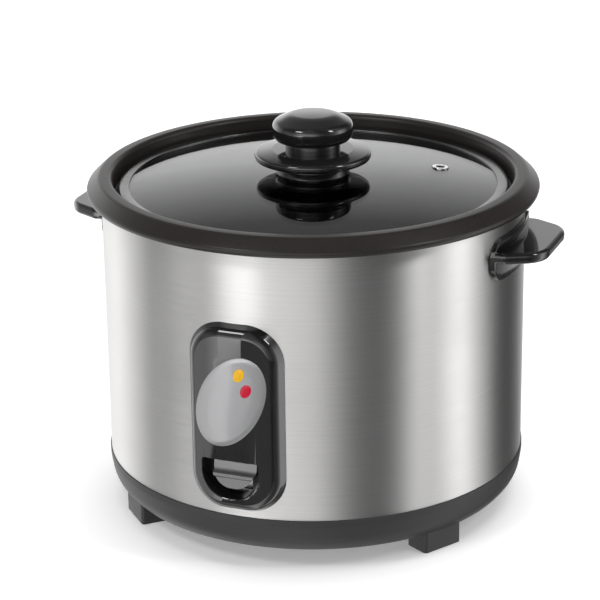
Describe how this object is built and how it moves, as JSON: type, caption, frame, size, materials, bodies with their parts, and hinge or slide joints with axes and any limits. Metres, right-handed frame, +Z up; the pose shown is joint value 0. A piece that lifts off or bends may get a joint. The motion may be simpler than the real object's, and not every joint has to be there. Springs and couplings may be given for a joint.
{
  "type": "rice cooker",
  "caption": "Round electric rice cooker: brushed steel body, lift-out coated pot with flared rim, domed glass lid with knob, side handles, front panel with two lamps and a lever switch.",
  "frame": {"origin": "on the surface that the feet stand on, under the axis of the round body", "axes": "+Z up along the body's axis, -Y to the front with the control panel, +X to the right handle as seen from behind the panel's left, +Y to the power inlet"},
  "size_m": [0.286, 0.2558, 0.2272],
  "materials": {
    "body_steel": "brushed round the body, satin",
    "lid_steel": "polished",
    "gloss_black": "high gloss moulded",
    "base_plastic": "fine moulded grain",
    "pot_coating": "satin non-stick coating on aluminium",
    "lid_glass": "smoky tempered glass",
    "silver_paint": "satin silver lacquer",
    "yellow_lens": "tinted clear plastic",
    "red_lens": "tinted clear plastic",
    "lamp_glass": "clear",
    "liner_aluminium": "drawn sheet",
    "cast_aluminium": "cast and turned",
    "element_steel": "heat-tinted steel sheath",
    "zinc_steel": "zinc plated",
    "spring_steel": "drawn wire",
    "ferrite": "sintered",
    "switch_black": "moulded",
    "switch_red": "moulded",
    "brass": "nickel-flashed brass",
    "ceramic": "glazed ceramic",
    "fuse_sleeve": "woven glass sleeve",
    "silicone": "soft, translucent",
    "wire_brown": "sleeved",
    "wire_blue": "sleeved",
    "wire_black": "sleeved",
    "wire_red": "sleeved"
  },
  "bodies": {
    "housing": {"outer_shell": "body_steel", "base_pan": "base_plastic", "inner_liner": "liner_aluminium", "base_posts": "zinc_steel", "base_screws": "zinc_steel", "foot_screws": "zinc_steel", "handle_right": "gloss_black", "handle_left": "gloss_black", "handle_screws": "zinc_steel", "panel_bezel": "gloss_black", "badge_plate": "silver_paint", "warm_lens": "yellow_lens", "cook_lens": "red_lens", "lamp_holder": "switch_black", "warm_lamp": "lamp_glass", "cook_lamp": "lamp_glass", "panel_screws": "zinc_steel", "heating_plate": "cast_aluminium", "heating_element": "element_steel", "plate_spacers": "zinc_steel", "plate_screws": "zinc_steel", "warm_heater_band": "liner_aluminium", "thermal_fuse": "fuse_sleeve", "fuse_clip": "zinc_steel", "sensor_guide": "zinc_steel", "sensor_spring": "spring_steel", "lever_bracket": "zinc_steel", "bracket_screws": "zinc_steel", "lever_pin": "zinc_steel", "micro_switch": "switch_black", "switch_screws": "zinc_steel", "power_inlet": "switch_black", "inlet_pins": "brass", "inlet_screws": "zinc_steel", "terminal_block": "ceramic", "foot_front_left": "base_plastic", "foot_front_right": "base_plastic", "foot_rear_left": "base_plastic", "foot_rear_right": "base_plastic", "wire_live": "wire_brown", "wire_neutral": "wire_blue", "wire_switch": "wire_black", "wire_heater": "wire_red"},
    "pot": {"cooking_pot": "pot_coating"},
    "lid": {"lid_glass": "lid_glass", "lid_rim": "lid_steel", "lid_vent": "lid_steel", "knob_guard": "gloss_black", "lid_knob": "gloss_black", "knob_washer": "silicone", "knob_screw": "zinc_steel"},
    "lever": {"switch_lever": "zinc_steel", "switch_paddle": "silver_paint"},
    "magnet_carrier": {"magnet": "ferrite", "magnet_rod": "zinc_steel", "rod_clips": "zinc_steel"},
    "sensor": {"sensor_cap": "cast_aluminium", "sensor_ferrite": "ferrite", "magnet_spring": "spring_steel"},
    "plunger": {"switch_plunger": "switch_red"}
  },
  "joints": [
    {"name": "pot_lift", "type": "slide", "parent": "housing", "child": "pot", "axis": [0, 0, 1], "range_m": [0, 0.16]},
    {"name": "lid_lift", "type": "slide", "parent": "pot", "child": "lid", "axis": [0, 0, 1], "range_m": [0, 0.12]},
    {"name": "lever_rock", "type": "hinge", "parent": "housing", "child": "lever", "pos_m": [0, -0.075, 0.0295], "axis": [1, 0, 0], "range_deg": [0, 4], "stiffness_Nm_per_rad": 1, "springref_deg": -3.44},
    {"name": "magnet_rise", "type": "slide", "parent": "housing", "child": "magnet_carrier", "axis": [0, 0, 1], "range_m": [0, 0.0053], "deforming": ["magnet_spring"]},
    {"name": "plunger_press", "type": "slide", "parent": "housing", "child": "plunger", "axis": [0, 0, -1], "range_m": [0, 0.001]},
    {"name": "sensor_rise", "type": "slide", "parent": "housing", "child": "sensor", "axis": [0, 0, 1], "range_m": [0, 0.0025], "deforming": ["sensor_spring"]}
  ],
  "couplings": [
    {"joint": "magnet_rise", "follows": "lever_rock", "m_per_rad": 0.075},
    {"joint": "plunger_press", "follows": "lever_rock", "m_per_rad": 0.014},
    {"joint": "sensor_rise", "follows": "pot_lift", "ratio": 0.015625}
  ]
}
